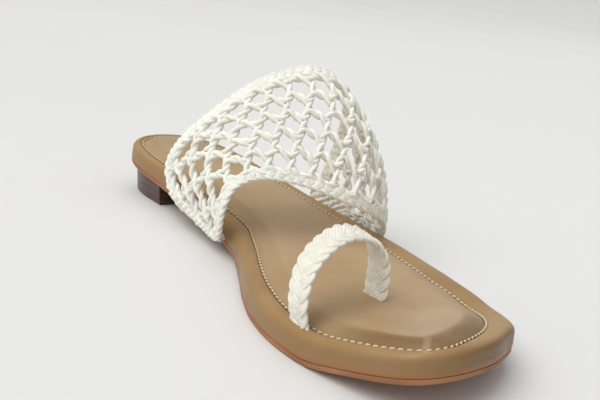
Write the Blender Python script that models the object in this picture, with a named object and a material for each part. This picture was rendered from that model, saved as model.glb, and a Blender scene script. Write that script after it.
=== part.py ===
"""Kolhapuri sandal, left shoe: shaped sole on a low heel, padded insole, net band and toe ring.

Lengths are in millimetres until make_object(), which turns them into metres.
s runs from the end of the heel to the toe, w towards the outer side of the foot, z up.
In the finished frame X is w and Y runs from toe (-) to heel (+).
"""

import math

import bmesh
import bpy
import numpy as np

# ---------------------------------------------------------------- sizes, mm
LENGTH = 250.0            # whole sole, heel end to toe
GAP = 0.3                 # between pieces that meet
OUTSOLE_T = 2.0
OUTSOLE_INSET = 0.7       # outsole edge behind the side of the footbed
RECESS_DEPTH = 1.7        # hollow in the footbed that takes the insole
GROOVE = 0.45             # half of the groove round the insole
PAD_RISE = 2.2            # insole above the rim, inside its rounded shoulder
PAD_CROWN = 0.4           # further rise towards its middle
HEEL_FRONT = 45.0         # front face of the heel, from the heel end
HEEL_INSET = 3.0          # heel side behind the outline
HEEL_TAPER = 1.2          # how much the heel narrows towards the floor

SIDE_STEPS = 3            # sections between two rows of the outline, along a side
END_STEPS = 2             # the same round the heel and along the toe
NET_ROWS = 5
NET_COLUMNS = 14
NET_START = 2.75          # where the cords begin, in rows of BAND from either end
NET_GATHER = (            # share of the columns, share of the net's length that they fill
    (0.0, 0.0),
    (0.15, 0.22),
    (0.25, 0.33),
    (0.5, 0.545),
    (1.0, 1.0),
)
NET_LEAN = (0.8, -0.7)    # lean of the columns at the inner and outer end, in rows of BAND
FRONT_EDGE = 0.07         # width of each plaited edge, as a share of the band's width
REAR_EDGE = 0.135
ZIGZAG = 0.21             # wave of the cords between two rows of holes, as a share of a row
HOLE_SCALE = 0.62         # hole against its cell
CORD_OUT, CORD_IN = 1.45, 1.0      # cord above and below the middle of the band
HOLE_OUT, HOLE_IN = 0.55, 0.45     # the same at the rim of a hole
TUCK_HALF = 0.7           # half thickness of the ends between footbed and outsole

RING_WIDTH = 11.2
RING_HALF = 1.4           # half thickness of the toe ring
RING_RELIEF = 0.45        # strands above that, away from its ends
RING_STEP = 2.7           # length between two of its sections
RING_PITCH = 13.0         # length of one turn of its plait
RING_DEPTH = 5.0          # of its ends in the footbed

# Height of the rim and of the sole's underside along the foot.
PROFILE = [  # s, top, under
    (0.0, 27.0, 16.4),
    (25.0, 24.4, 13.8),
    (50.0, 21.5, 10.9),
    (75.0, 18.1, 7.5),
    (100.0, 15.0, 4.4),
    (125.0, 13.1, 2.4),
    (150.0, 12.0, 1.1),
    (172.0, 11.2, 0.0),
    (206.0, 11.2, 0.0),
    (225.0, 15.0, 4.3),
    (240.0, 19.2, 8.6),
    (252.0, 23.0, 12.4),
]

# Outline of the sole and of the insole, once round. Rows of one side face those of the other.
HEEL_ARC = [  # outline s, w; insole s, w
    (6.0, 15.5, 11.0, 10.5),
    (1.5, 8.0, 7.4, 4.8),
    (0.0, -2.0, 5.8, -2.4),
    (1.5, -11.0, 7.2, -9.4),
]
INNER_SIDE = [
    (6.0, -19.0, 10.8, -15.4),
    (15.0, -24.5, 17.8, -19.8),
    (30.0, -26.0, 31.0, -21.2),
    (50.0, -23.6, 50.0, -18.8),
    (72.0, -21.2, 72.0, -15.6),
    (100.0, -19.5, 100.0, -11.8),
    (120.0, -21.6, 118.0, -12.6),
    (132.0, -25.6, 130.0, -16.8),
    (145.0, -31.2, 143.0, -22.2),
    (160.0, -38.0, 157.0, -28.6),
    (177.0, -43.5, 173.0, -34.4),
    (197.0, -45.3, 193.0, -38.4),
    (220.0, -41.2, 216.0, -36.6),
]
TOE_EDGE = [
    (243.2, -32.6, 239.0, -29.2),
    (249.9, -19.2, 244.4, -20.5),
    (248.6, -2.8, 241.8, -8.5),
    (243.4, 9.8, 236.2, 5.0),
]
OUTER_SIDE = [
    (235.4, 23.2, 228.4, 15.8),
    (220.0, 34.2, 218.0, 23.7),
    (206.0, 41.4, 203.0, 29.5),
    (190.0, 44.5, 187.0, 32.0),
    (172.0, 46.9, 170.0, 34.8),
    (150.0, 47.8, 148.0, 36.6),
    (127.0, 46.6, 126.0, 36.4),
    (110.0, 44.2, 109.0, 35.4),
    (95.0, 41.8, 95.0, 34.0),
    (75.0, 38.3, 76.0, 31.0),
    (55.0, 34.3, 56.0, 27.2),
    (35.0, 30.8, 36.0, 23.6),
    (17.0, 25.0, 20.0, 17.8),
]

# Sections of the band from its inner to its outer end, in the middle of its wall.
# The first and last two rows lie between footbed and outsole.
BAND = [  # front s, w, z; middle s, w, z; rear s, w, z
    (110.5, -14.5, 6.5, 94.0, -12.5, 8.15, 72.0, -14.2, 10.95),
    (111.0, -20.7, 6.5, 94.0, -19.6, 8.15, 71.5, -21.0, 11.05),
    (112.5, -23.8, 7.0, 94.0, -22.8, 7.1, 70.5, -23.8, 10.5),
    (117.8, -26.2, 12.5, 94.0, -24.8, 14.0, 65.5, -25.6, 15.8),
    (122.3, -27.7, 24.0, 94.0, -27.8, 28.0, 58.5, -25.4, 24.5),
    (124.0, -24.0, 33.5, 98.0, -27.0, 39.0, 70.0, -24.5, 40.0),
    (128.0, -15.0, 38.0, 108.0, -19.0, 51.0, 87.0, -19.0, 56.0),
    (135.0, -5.0, 38.0, 117.0, -7.0, 58.5, 95.5, -7.0, 70.0),
    (142.0, 5.0, 35.5, 124.0, 6.0, 61.0, 99.0, 5.0, 77.5),
    (147.0, 16.0, 31.0, 129.0, 19.0, 61.0, 104.0, 18.0, 81.5),
    (147.0, 28.5, 25.8, 131.0, 33.0, 57.0, 105.0, 30.0, 78.0),
    (142.5, 39.5, 20.5, 129.0, 43.0, 46.5, 102.0, 39.0, 68.0),
    (137.5, 46.0, 15.6, 121.0, 48.5, 32.0, 93.0, 45.0, 48.0),
    (134.5, 48.4, 10.9, 113.0, 47.7, 17.5, 86.5, 43.6, 23.0),
    (133.5, 48.8, 7.2, 110.0, 45.9, 9.6, 84.0, 41.7, 12.8),
    (133.0, 45.0, 5.0, 110.0, 42.2, 6.5, 84.0, 38.2, 9.3),
    (132.0, 39.0, 5.0, 110.0, 36.2, 6.5, 85.0, 32.4, 9.2),
]

# Middle line of the toe ring above the footbed, with the lean of its front edge.
RING_PATH = [  # s, w, height above the rim, front edge outwards and down per mm of width
    (201.5, -41.2, 0.0, 0.0, 0.0),
    (201.0, -42.6, 8.0, 0.0, 0.05),
    (198.5, -39.6, 17.0, 0.0, 0.1),
    (196.0, -32.4, 23.4, 0.0, 0.15),
    (194.0, -22.0, 26.8, 0.0, 0.2),
    (193.6, -11.8, 24.8, 0.05, 0.2),
    (194.6, -6.2, 18.0, 0.12, 0.1),
    (195.8, -5.4, 9.0, 0.2, 0.0),
    (196.0, -6.0, 0.0, 0.2, 0.0),
]

FINISHES = {  # name: base colour, roughness
    "outsole": ((0.46, 0.17, 0.075), 0.6),
    "heel": ((0.075, 0.026, 0.018), 0.45),
    "footbed": ((0.40, 0.235, 0.115), 0.5),
    "insole": ((0.42, 0.285, 0.175), 0.55),
    "band": ((0.80, 0.79, 0.72), 0.85),
    "toe_ring": ((0.80, 0.79, 0.73), 0.85),
}


# ---------------------------------------------------------------- curves
def through(rows, steps, closed):
    """Points of a smooth curve through the rows, steps[i] from row i to the next."""
    rows = np.asarray(rows, float)
    count = len(rows)
    if closed:
        before, after = np.roll(rows, 1, 0), np.roll(rows, -1, 0)
    else:
        before = np.vstack([2 * rows[0] - rows[1], rows[:-1]])
        after = np.vstack([rows[1:], 2 * rows[-1] - rows[-2]])
    slope = (after - before) / 2
    spans = count if closed else count - 1
    points = []
    for i in range(spans):
        j = (i + 1) % count
        for x in np.arange(steps[i]) / steps[i]:
            points.append(hermite(rows[i], rows[j], slope[i], slope[j], x))
    if not closed:
        points.append(rows[-1])
    return np.array(points)


def hermite(a, b, slope_a, slope_b, x):
    """Value at x (0 to 1) of the cubic from a to b with those slopes."""
    x2, x3 = x * x, x * x * x
    ends = a * (2 * x3 - 3 * x2 + 1) + b * (3 * x2 - 2 * x3)
    return ends + slope_a * (x3 - 2 * x2 + x) + slope_b * (x3 - x2)


def profile(s, column):
    """Height along the foot from a column of PROFILE, level where two rows are."""
    xs = np.array([row[0] for row in PROFILE])
    ys = np.array([row[column] for row in PROFILE])
    rise = np.diff(ys) / np.diff(xs)
    inner = np.where(rise[1:] * rise[:-1] > 0, (rise[1:] + rise[:-1]) / 2, 0.0)
    slope = np.concatenate([rise[:1], inner, rise[-1:]])
    s = np.clip(s, xs[0], xs[-1])
    i = np.clip(np.searchsorted(xs, s) - 1, 0, len(xs) - 2)
    step = xs[i + 1] - xs[i]
    return hermite(ys[i], ys[i + 1], slope[i] * step, slope[i + 1] * step, (s - xs[i]) / step)


def rim(s):
    """Height of the top of the rim."""
    return profile(s, 1)


def under(s):
    """Height of the underside of the sole."""
    return profile(s, 2)


def inset(ring, distance):
    """A closed (s, w) ring moved inwards by a distance; outwards if negative."""
    along = np.roll(ring, -1, 0) - np.roll(ring, 1, 0)
    along /= np.linalg.norm(along, axis=1)[:, None]
    inwards = np.column_stack([-along[:, 1], along[:, 0]])
    area = np.sum(ring[:, 0] * np.roll(ring[:, 1], -1) - np.roll(ring[:, 0], -1) * ring[:, 1])
    return ring + inwards * distance * np.sign(area)


def outlines():
    """The rings of the sole and of the insole, point facing point."""
    rows = HEEL_ARC + INNER_SIDE + TOE_EDGE + OUTER_SIDE
    steps = []
    for part, count in ((HEEL_ARC, END_STEPS), (INNER_SIDE, SIDE_STEPS),
                        (TOE_EDGE, END_STEPS), (OUTER_SIDE, SIDE_STEPS)):
        steps += [count] * len(part)
    points = through(rows, steps, closed=True)
    return points[:, :2], points[:, 2:]


# ---------------------------------------------------------------- meshes
class Shell:
    """Points and faces of one closed solid, with points shared by name."""

    def __init__(self):
        self.points = []
        self.faces = []
        self.index = {}

    def point(self, name, where):
        """Index of the named point, which is added at `where` the first time."""
        if name not in self.index:
            self.index[name] = len(self.points)
            self.points.append(tuple(float(x) for x in where))
        return self.index[name]

    def face(self, *names):
        """A face over points that exist."""
        self.faces.append([self.index[name] for name in names])


def grid_of(ring):
    """Names of a ring's points and its inner points laid out in rows, as an array of (s, w).

    The rows run across the foot, from the arc of the heel to the edge of the toe.
    """
    across = len(HEEL_ARC) * END_STEPS
    along = len(INNER_SIDE) * SIDE_STEPS
    heel = ring[: across + 1][::-1]
    inner = ring[across : across + along + 1]
    toe = ring[across + along : 2 * across + along + 1]
    outer = np.vstack([ring[2 * across + along :], ring[:1]])[::-1]
    x = np.linspace(0, 1, across + 1)[None, :, None]
    y = np.linspace(0, 1, along + 1)[:, None, None]
    sides = inner[:, None] * (1 - x) + outer[:, None] * x
    ends = heel[None] * (1 - y) + toe[None] * y
    low = heel[0] * (1 - x) + heel[-1] * x
    high = toe[0] * (1 - x) + toe[-1] * x
    return sides + ends - (low * (1 - y) + high * y)


def ring_names(label):
    """For each cell of grid_of's border, its place in the ring."""
    across = len(HEEL_ARC) * END_STEPS
    along = len(INNER_SIDE) * SIDE_STEPS
    count = 2 * (across + along)
    names = {}
    for i in range(across + 1):
        names[0, across - i] = (label, i)
        names[along, i] = (label, across + along + i)
    for i in range(along + 1):
        names[i, 0] = (label, across + i)
        names[along - i, across] = (label, (2 * across + along + i) % count)
    return names


def add_ring(shell, label, ring, height):
    """Names ring points (label, i) at the given height, a function of s."""
    for i, (s, w) in enumerate(ring):
        shell.point((label, i), (s, w, height(s)))


def bridge(shell, lower, upper, count):
    """Faces between two rings of `count` points."""
    for i in range(count):
        j = (i + 1) % count
        shell.face((lower, i), (lower, j), (upper, j), (upper, i))


def cap(shell, label, ring, height, crown=0.0):
    """Closes a ring with a grid at height(s), raised by `crown` in the middle."""
    grid = grid_of(ring)
    rows, columns = grid.shape[:2]
    names = ring_names(label)
    for i in range(rows):
        for j in range(columns):
            name = names.setdefault((i, j), (label, "cap", i, j))
            hump = math.sin(math.pi * j / (columns - 1)) * math.sin(math.pi * i / (rows - 1))
            s, w = grid[i, j]
            shell.point(name, (s, w, height(s) + crown * max(hump, 0.0) ** 0.5))
    for i in range(rows - 1):
        for j in range(columns - 1):
            shell.face(names[i, j], names[i + 1, j], names[i + 1, j + 1], names[i, j + 1])


def stacked(levels, crown=0.0):
    """A solid from rings given bottom to top as (ring, height), capped at both ends."""
    shell = Shell()
    count = len(levels[0][0])
    for k, (ring, height) in enumerate(levels):
        add_ring(shell, k, ring, height)
    for k in range(len(levels) - 1):
        bridge(shell, k, k + 1, count)
    cap(shell, 0, levels[0][0], levels[0][1])
    cap(shell, len(levels) - 1, levels[-1][0], levels[-1][1], crown)
    return shell


# ---------------------------------------------------------------- sole
def outsole():
    """The thin sheet under the whole foot."""
    ring = inset(outlines()[0], OUTSOLE_INSET)
    return stacked([
        (inset(ring, 0.7), lambda s: under(s)),
        (ring, lambda s: under(s) + 0.7),
        (ring, lambda s: under(s) + OUTSOLE_T),
    ])


def footbed():
    """The padded body of the sole, with rounded rim and a hollow for the insole."""
    outline, lining = outlines()
    base = OUTSOLE_T + GAP
    wall = inset(lining, -GROOVE)
    return stacked([
        (inset(outline, 2.0), lambda s: under(s) + base),
        (inset(outline, 0.5), lambda s: under(s) + base + 0.5),
        (outline, lambda s: under(s) + base + 2.0),
        (outline, lambda s: rim(s) - 3.9),
        (inset(outline, 0.6), lambda s: rim(s) - 2.2),
        (inset(outline, 1.7), lambda s: rim(s) - 0.8),
        (inset(outline, 3.0), lambda s: rim(s) - 0.1),
        (inset(lining, -1.15), lambda s: rim(s)),
        (wall, lambda s: rim(s) - 0.5),
        (wall, lambda s: rim(s) - RECESS_DEPTH),
    ])


def insole():
    """The padded panel in the hollow of the footbed."""
    side = inset(outlines()[1], 0.1)
    return stacked([
        (side, lambda s: rim(s) - RECESS_DEPTH + GAP),
        (side, lambda s: rim(s) - 0.9),
        (inset(side, 0.8), lambda s: rim(s) - 0.25),
        (inset(side, 2.0), lambda s: rim(s) + 0.36 * PAD_RISE),
        (inset(side, 3.6), lambda s: rim(s) + 0.73 * PAD_RISE),
        (inset(side, 6.5), lambda s: rim(s) + PAD_RISE),
    ], PAD_CROWN)


def heel():
    """The low block under the heel: the sole's own outline up to a straight front face."""
    outline = outlines()[0]
    shell = Shell()
    sections = []
    for label, depth, height in (
        ("floor", HEEL_INSET + HEEL_TAPER + 0.5, lambda s: 0.0),
        ("edge", HEEL_INSET + HEEL_TAPER, lambda s: 0.6),
        ("top", HEEL_INSET, lambda s: under(s) - GAP),
    ):
        grid = grid_of(inset(outline, depth))
        rows = [row for row in grid if row[:, 0].mean() < HEEL_FRONT - 4.0]
        last = grid[len(rows)].copy()
        last[:, 0] = HEEL_FRONT
        sections.append((label, np.array(rows + [last]), height))
    return block(shell, sections)


def block(shell, sections):
    """A solid from three grids of (s, w): its floor, a rim above it and its top."""
    rows, columns = sections[0][1].shape[:2]
    border = [(0, j) for j in range(columns)]
    border += [(i, columns - 1) for i in range(1, rows)]
    border += [(rows - 1, j) for j in range(columns - 2, -1, -1)]
    border += [(i, 0) for i in range(rows - 2, 0, -1)]
    for label, grid, height in sections:
        wanted = border if label == "edge" else np.ndindex(rows, columns)
        for i, j in wanted:
            s, w = grid[i, j]
            shell.point((label, i, j), (s, w, height(s)))
    for label in ("floor", "top"):
        for i, j in np.ndindex(rows - 1, columns - 1):
            corners = ((i, j), (i + 1, j), (i + 1, j + 1), (i, j + 1))
            shell.face(*((label, a, b) for a, b in corners))
    for lower, upper in (("floor", "edge"), ("edge", "top")):
        for (a, b), (c, d) in zip(border, border[1:] + border[:1]):
            shell.face((lower, a, b), (lower, c, d), (upper, c, d), (upper, a, b))
    return shell


# ---------------------------------------------------------------- band
def band_section(t):
    """Front, middle and rear points of the band at t, counted in rows of BAND."""
    rows = np.array(BAND).reshape(len(BAND), 3, 3)
    i = int(min(max(math.floor(t), 0), len(rows) - 2))
    before = rows[i - 1] if i else 2 * rows[0] - rows[1]
    after = rows[i + 2] if i + 2 < len(rows) else 2 * rows[-1] - rows[-2]
    return hermite(
        rows[i], rows[i + 1], (rows[i + 1] - before) / 2, (after - rows[i]) / 2, t - i
    )


def band_point(t, v, lift=0.0):
    """Point of the band at section t and share v of its width, lifted off its middle."""
    where = on_band(t, v)
    if not lift:
        return where
    along = on_band(t + 0.02, v) - on_band(t - 0.02, v)
    over = on_band(t, v + 0.02) - on_band(t, v - 0.02)
    out = np.cross(along, over)
    return where + lift * out / np.linalg.norm(out)


def on_band(t, v):
    """Point in the middle of the band's wall."""
    front, middle, rear = band_section(t)
    return front * (1 - v) * (1 - 2 * v) + middle * 4 * v * (1 - v) + rear * v * (2 * v - 1)


def column_places():
    """Value of t for each column of cords along the middle of the band, wider apart inside."""
    first, last = NET_START, len(BAND) - 1 - NET_START
    fine = np.linspace(first, last, 241)
    line = np.array([on_band(t, 0.5) for t in fine])
    run = np.concatenate([[0], np.cumsum(np.linalg.norm(np.diff(line, axis=0), axis=1))])
    columns, places = zip(*NET_GATHER)
    share = np.interp(np.linspace(0, 1, 2 * NET_COLUMNS + 1), columns, places)
    inner = np.interp(share * run[-1], run, fine)
    lower = np.arange(math.ceil(first))
    upper = np.arange(math.ceil(last), len(BAND))
    return list(lower) + list(inner) + list(upper), len(lower)


def band():
    """The net: one wall with cut holes, raised cords and thick plaited edges."""
    places, tuck = column_places()
    total = len(places)
    plait_lines = (0.0, 0.25, 0.62)
    edge = len(plait_lines)
    lines = [FRONT_EDGE * share for share in plait_lines]
    lines += [FRONT_EDGE + row_step() * k for k in range(NET_ROWS + 1)]
    lines += [1 - REAR_EDGE * share for share in reversed(plait_lines)]
    shell = Shell()
    for m in range(total):
        in_net = tuck <= m < total - tuck
        for a, share in enumerate(lines):
            share, out, into = cord_at(a, m - tuck, share, edge, len(lines))
            place = places[m]
            if in_net:
                place += lean_at(m - tuck) * (share - 0.5)
            else:
                out = into = TUCK_HALF
            shell.point(("out", a, m), band_point(place, share, out))
            shell.point(("in", a, m), band_point(place, share, -into))
    for m in range(total - 1):
        for a in range(len(lines) - 1):
            row = a - edge
            if 0 <= row < NET_ROWS and tuck <= m < total - tuck - 1:
                if (row + m - tuck) % 2 == 0 and m + 2 < total - tuck:
                    add_hole(shell, a, m)
                if not lone_half(row, m - tuck):
                    continue
            for side in ("out", "in"):
                shell.face((side, a, m), (side, a, m + 1), (side, a + 1, m + 1), (side, a + 1, m))
    close_border(shell, len(lines), total)
    return shell


def row_step():
    """Width of one row of holes, as a share of the band's width."""
    return (1 - FRONT_EDGE - REAR_EDGE) / NET_ROWS


def lean_at(m):
    """How far column m leans over the band's whole width, in rows of BAND."""
    inner, outer = NET_LEAN
    return inner + (outer - inner) * m / (2 * NET_COLUMNS)


def lone_half(row, m):
    """Whether the half cell at an end of a row has no other half, so that it stays filled."""
    starts_late = row % 2 == 1
    return (m == 0 and starts_late) or (m == 2 * NET_COLUMNS - 1 and starts_late)


def cord_at(a, m, share, edge, count):
    """Place and thickness of the band's wall where line a crosses column m."""
    last = count - 1
    row = a - edge
    if 0 <= row <= NET_ROWS:
        wave = ZIGZAG if 0 < row < NET_ROWS else ZIGZAG / 2
        up = (row + m) % 2 == 0
        return share + row_step() * wave * (1 if up else -1), CORD_OUT, CORD_IN
    if a in (0, last):
        return share, 0.7, 0.6
    swing = 0.35 if (m + a) % 2 else -0.25
    return share, CORD_OUT + 0.5 + swing, CORD_IN + 0.3


def add_hole(shell, a, m):
    """One hole with the slopes round it, between lines a and a + 1 and columns m and m + 2."""
    corners = [(a, m), (a, m + 1), (a, m + 2), (a + 1, m + 2), (a + 1, m + 1), (a + 1, m)]
    loops = {}
    for side in ("out", "in"):
        cell = np.array([shell.points[shell.index[side, i, j]] for i, j in corners])
        loops[side] = cell
    middle = (loops["out"] + loops["in"]) / 2
    centre = middle.mean(axis=0)
    for k in range(6):
        rim_point = centre + (middle[k] - centre) * HOLE_SCALE
        wall = loops["out"][k] - loops["in"][k]
        wall /= np.linalg.norm(wall)
        shell.point(("hole out", a, m, k), rim_point + wall * HOLE_OUT)
        shell.point(("hole in", a, m, k), rim_point - wall * HOLE_IN)
    for k in range(6):
        n = (k + 1) % 6
        for side in ("out", "in"):
            here, there = (side, *corners[k]), (side, *corners[n])
            shell.face(here, there, (f"hole {side}", a, m, n), (f"hole {side}", a, m, k))
        shell.face(
            ("hole out", a, m, k), ("hole out", a, m, n), ("hole in", a, m, n), ("hole in", a, m, k)
        )


def close_border(shell, lines, total):
    """Faces between outer and inner side, all round the band."""
    border = [(0, m) for m in range(total)]
    border += [(a, total - 1) for a in range(1, lines)]
    border += [(lines - 1, m) for m in range(total - 2, -1, -1)]
    border += [(a, 0) for a in range(lines - 2, 0, -1)]
    for here, there in zip(border, border[1:] + border[:1]):
        shell.face(("out", *here), ("out", *there), ("in", *there), ("in", *here))


def tuck_space(inner_end):
    """Room in the footbed for one end of the band, a gap wider all round."""
    last = len(BAND) - 1
    places = [-0.15, 1.0, 2.0, 3.0] if inner_end else [last + 0.15, last - 1, last - 2, last - 3]
    margin = 0.01
    shell = Shell()
    shares = np.linspace(-margin, 1 + margin, 9)
    for m, place in enumerate(places):
        for a, share in enumerate(shares):
            half = TUCK_HALF + GAP
            shell.point(("out", a, m), band_point(place, share, half))
            shell.point(("in", a, m), band_point(place, share, -half))
    for m in range(len(places) - 1):
        for a in range(len(shares) - 1):
            for side in ("out", "in"):
                shell.face((side, a, m), (side, a, m + 1), (side, a + 1, m + 1), (side, a + 1, m))
    close_border(shell, len(shares), len(places))
    return shell


# ---------------------------------------------------------------- toe ring
def ring_line():
    """Evenly spaced (s, w, z, outwards, down) along the ring, with its ends in the footbed."""
    rows = [(s, w, rim(s) + height, *lean) for s, w, height, *lean in RING_PATH]
    curve = through(rows, [24] * len(rows), closed=False)
    steps = np.linalg.norm(np.diff(curve[:, :3], axis=0), axis=1)
    run = np.concatenate([[0], np.cumsum(steps)])
    count = int(round(run[-1] / RING_STEP))
    even = np.linspace(0, run[-1], count + 1)
    line = np.column_stack([np.interp(even, run, column) for column in curve.T])
    deep = np.array([0, 0, RING_DEPTH, 0, 0])
    return np.vstack([line[:1] - deep, line, line[-1:] - deep])


def plait(across, along):
    """Height (0 to 1) of a three-strand plait at a share across it and a length along it."""
    best = 0.0
    for strand in range(3):
        turn = 2 * math.pi * (along / RING_PITCH + strand / 3)
        middle = 0.62 * math.sin(turn)
        over = 0.6 + 0.4 * math.sin(2 * turn)
        near = max(0.0, 1 - ((across - middle) / 0.5) ** 2)
        best = max(best, over * math.sqrt(near))
    return best


def toe_ring():
    """A flat plait bent over the big toe, its width about along the foot."""
    line = ring_line()
    shell = Shell()
    places = [-1.0, -0.72, -0.36, 0.0, 0.36, 0.72, 1.0]
    last = len(line) - 1
    for i, (s, w, z, outwards, down) in enumerate(line):
        where = np.array([s, w, z])
        ahead = line[min(i + 1, last), :3] - line[max(i - 1, 0), :3]
        if i <= 1 or i >= last - 1:
            ahead = np.array([0, 0, 1.0 if i < 2 else -1.0])
        ahead = ahead / np.linalg.norm(ahead)
        width = np.array([1.0, outwards, -down])
        width -= ahead * width.dot(ahead)
        width /= np.linalg.norm(width)
        out = np.cross(width, ahead)
        raised = RING_RELIEF * min(max(min(i, last - i) - 1, 0) / 4, 1.0)
        for j, place in enumerate(places):
            shape = RING_HALF * (0.55 if abs(place) == 1.0 else 1.0)
            side = where + width * place * RING_WIDTH / 2
            relief, back = (raised * plait(x, i * RING_STEP) for x in (place, -place))
            shell.point(("out", i, j), side + out * (shape + relief))
            shell.point(("in", i, j), side - out * (shape + back))
    close_tube(shell, last, len(places) - 1)
    return shell


def close_tube(shell, last, columns):
    """All faces of a flat strip of sections 0 to `last`, `columns` wide."""
    for i in range(last):
        for j in range(columns):
            for side in ("out", "in"):
                shell.face((side, i, j), (side, i + 1, j), (side, i + 1, j + 1), (side, i, j + 1))
        for j in (0, columns):
            shell.face(("out", i, j), ("out", i + 1, j), ("in", i + 1, j), ("in", i, j))
    for i in (0, last):
        for j in range(columns):
            shell.face(("out", i, j), ("out", i, j + 1), ("in", i, j + 1), ("in", i, j))


def slot(end):
    """Room for one end of the toe ring (0 or -1), a gap wider all round."""
    s, w, _, outwards, _ = RING_PATH[end]
    along = np.array([1.0, outwards]) / math.hypot(1.0, outwards)
    across = np.array([-along[1], along[0]])
    half_length = RING_WIDTH / 2 + GAP
    half_width = RING_HALF + 1.8 * GAP
    low, high = rim(s) - RING_DEPTH - GAP, rim(s) + 6.0
    shell = Shell()
    for i, (x, y) in enumerate(((-1, -1), (1, -1), (1, 1), (-1, 1))):
        corner = np.array([s, w]) + along * x * half_length + across * y * half_width
        shell.point(("low", i), (*corner, low))
        shell.point(("high", i), (*corner, high))
    for i in range(4):
        n = (i + 1) % 4
        shell.face(("low", i), ("low", n), ("high", n), ("high", i))
    shell.face(*(("low", i) for i in range(4)))
    shell.face(*(("high", i) for i in range(4)))
    return shell


# ---------------------------------------------------------------- objects
def finish_of(name):
    """The material of a piece, from FINISHES."""
    colour, roughness = FINISHES[name]
    material = bpy.data.materials.new(name + "_finish")
    material.use_nodes = True
    shader = material.node_tree.nodes["Principled BSDF"]
    shader.inputs["Base Color"].default_value = (*colour, 1.0)
    shader.inputs["Roughness"].default_value = roughness
    shader.inputs["Metallic"].default_value = 0.0
    return material


def make_object(name, shell, shift):
    """A mesh object from a shell, in metres, faces outwards."""
    points = np.array(shell.points)
    where = np.column_stack([points[:, 1], LENGTH / 2 - points[:, 0], points[:, 2]])
    mesh = bpy.data.meshes.new(name)
    mesh.from_pydata(((where - shift) / 1000).tolist(), [], shell.faces)
    work = bmesh.new()
    work.from_mesh(mesh)
    bmesh.ops.recalc_face_normals(work, faces=work.faces)
    if work.calc_volume(signed=True) < 0:
        bmesh.ops.reverse_faces(work, faces=work.faces)
    work.to_mesh(mesh)
    work.free()
    made = bpy.data.objects.new(name, mesh)
    bpy.context.scene.collection.objects.link(made)
    return made


def cut(target, cutter):
    """Cuts a hidden helper out of a piece."""
    cutter.hide_render = True
    cutter.display_type = "WIRE"
    modifier = target.modifiers.new("cut " + cutter.name, "BOOLEAN")
    modifier.operation = "DIFFERENCE"
    modifier.solver = "EXACT"
    modifier.object = cutter


def centre_of(shells):
    """Middle of the floor rectangle of all pieces, in the finished frame, mm."""
    points = np.vstack([np.array(shell.points) for shell in shells])
    low, high = points.min(axis=0), points.max(axis=0)
    return np.array([(low[1] + high[1]) / 2, LENGTH / 2 - (low[0] + high[0]) / 2, low[2]])


def main():
    for old in list(bpy.data.objects):
        bpy.data.objects.remove(old)
    shells = {
        "outsole": outsole(),
        "heel": heel(),
        "footbed": footbed(),
        "insole": insole(),
        "band": band(),
        "toe_ring": toe_ring(),
    }
    shift = centre_of(shells.values())
    pieces = {name: make_object(name, shell, shift) for name, shell in shells.items()}
    for name, piece in pieces.items():
        piece.data.materials.append(finish_of(name))
        piece.data.shade_smooth()
    for inner_end in (True, False):
        label = "tuck_inner" if inner_end else "tuck_outer"
        cut(pieces["footbed"], make_object(label, tuck_space(inner_end), shift))
    for end, label in ((0, "slot_inner"), (-1, "slot_outer")):
        cutter = make_object(label, slot(end), shift)
        cut(pieces["footbed"], cutter)
        if end:
            cut(pieces["insole"], cutter)


if __name__ == "__main__":
    main()
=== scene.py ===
"""Kolhapuri sandal, left shoe: its looks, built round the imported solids.

Sizes are in millimetres in the sandal's own frame: s runs from the heel end to the toe,
w towards the outer side of the foot and z up from the floor. Place turns them into metres.
"""

import logging
import math
from dataclasses import dataclass, field
from enum import Enum
from typing import Callable, Iterable, Sequence

import bmesh
import bpy
import numpy as np
from mathutils import Matrix, Vector


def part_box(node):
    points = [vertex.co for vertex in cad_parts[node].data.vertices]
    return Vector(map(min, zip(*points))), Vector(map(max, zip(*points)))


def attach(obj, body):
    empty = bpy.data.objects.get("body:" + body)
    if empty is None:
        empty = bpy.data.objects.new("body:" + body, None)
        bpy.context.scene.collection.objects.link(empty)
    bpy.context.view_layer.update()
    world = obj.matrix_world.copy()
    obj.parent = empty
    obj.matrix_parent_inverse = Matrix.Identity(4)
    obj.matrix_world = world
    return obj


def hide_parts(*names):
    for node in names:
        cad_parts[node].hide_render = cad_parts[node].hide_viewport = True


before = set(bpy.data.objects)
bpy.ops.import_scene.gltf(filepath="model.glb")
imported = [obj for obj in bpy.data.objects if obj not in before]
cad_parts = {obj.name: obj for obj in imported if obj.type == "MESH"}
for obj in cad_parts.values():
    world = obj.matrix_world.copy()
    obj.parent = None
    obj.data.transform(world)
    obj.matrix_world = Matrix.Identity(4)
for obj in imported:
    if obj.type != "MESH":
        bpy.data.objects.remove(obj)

LOG = logging.getLogger("sandal")
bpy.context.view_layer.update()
BODY = "root"

Height = Callable[[np.ndarray], np.ndarray]


class Joint(Enum):
    """How the ends of a row of curve points are treated."""

    OPEN = "open"
    CLOSED = "closed"


class Slot(Enum):
    """Material slots of the record."""

    OUTSOLE = "outsole"
    HEEL = "heel"
    FOOTBED = "footbed"
    INSOLE = "insole"
    CORD = "cord"


# ---------------------------------------------------------------- curves
def hermite(a: np.ndarray, b: np.ndarray, slope_a: np.ndarray, slope_b: np.ndarray,
            x: np.ndarray) -> np.ndarray:
    """Value of a cubic between two points.

    Args:
        a: value at x = 0.
        b: value at x = 1.
        slope_a: slope at x = 0.
        slope_b: slope at x = 1.
        x: where to read it, 0 to 1.

    Returns:
        The value at x.
    """
    x2, x3 = x * x, x * x * x
    ends = a * (2 * x3 - 3 * x2 + 1) + b * (3 * x2 - 2 * x3)
    return ends + slope_a * (x3 - 2 * x2 + x) + slope_b * (x3 - x2)


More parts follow.
